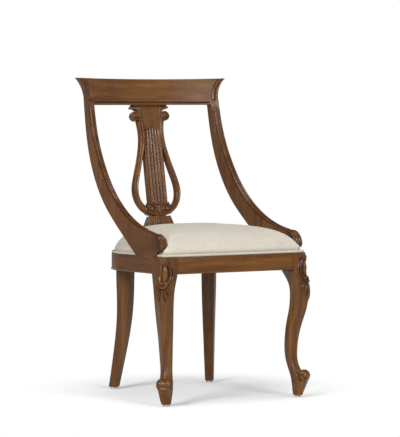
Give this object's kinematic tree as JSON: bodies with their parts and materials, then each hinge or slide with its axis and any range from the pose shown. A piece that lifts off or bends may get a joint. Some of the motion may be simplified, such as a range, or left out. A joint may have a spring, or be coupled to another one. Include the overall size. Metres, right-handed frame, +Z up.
{
  "type": "dining_chair",
  "caption": "Regency style lyre back dining side chair in stained mahogany with scrolled carved legs and a fixed upholstered seat in off-white linen.",
  "frame": {"origin": "on the floor, at the middle of the chair's width and of its depth", "axes": "+Z up, the chair faces -Y, +X to the right of somebody who looks along +Y at its front"},
  "size_m": [0.5108, 0.5904, 0.94],
  "materials": {
    "stained_mahogany": "carved solid mahogany, red-brown stain under satin lacquer, light rubbing on the edges",
    "plain_hardwood": "unfinished planed hardwood",
    "birch_plywood": "sanded bare plywood",
    "cushion_foam": "open-cell upholstery foam",
    "seat_linen": "plain woven slubby linen, warm off-white",
    "dust_cloth": "thin black cambric dust cover",
    "zinc_steel": "zinc-plated steel",
    "nylon": "white moulded nylon"
  },
  "bodies": {
    "root": {"crest_rail": "stained_mahogany", "post_left": "stained_mahogany", "post_right": "stained_mahogany", "lyre_column": "stained_mahogany", "lyre_arm_left": "stained_mahogany", "lyre_arm_right": "stained_mahogany", "lyre_scroll_block": "stained_mahogany", "lyre_shoe": "stained_mahogany", "seat_rail_front": "stained_mahogany", "seat_rail_left": "stained_mahogany", "seat_rail_right": "stained_mahogany", "seat_rail_back": "stained_mahogany", "front_leg_left": "stained_mahogany", "front_leg_right": "stained_mahogany", "rear_leg_left": "stained_mahogany", "rear_leg_right": "stained_mahogany", "corner_block_left": "plain_hardwood", "corner_block_right": "plain_hardwood", "seat_cleat_left": "plain_hardwood", "seat_cleat_right": "plain_hardwood", "arm_dowels": "plain_hardwood", "crest_dowels": "plain_hardwood", "rail_dowels": "plain_hardwood", "lyre_dowels": "plain_hardwood", "seat_board": "birch_plywood", "seat_foam": "cushion_foam", "seat_cover": "seat_linen", "seat_welt": "seat_linen", "dust_cover": "dust_cloth", "block_screws": "zinc_steel", "leg_screws": "zinc_steel", "seat_screws": "zinc_steel", "glide_nails": "zinc_steel", "glide_front_left": "nylon", "glide_front_right": "nylon", "glide_rear_left": "nylon", "glide_rear_right": "nylon"}
  },
  "joints": []
}
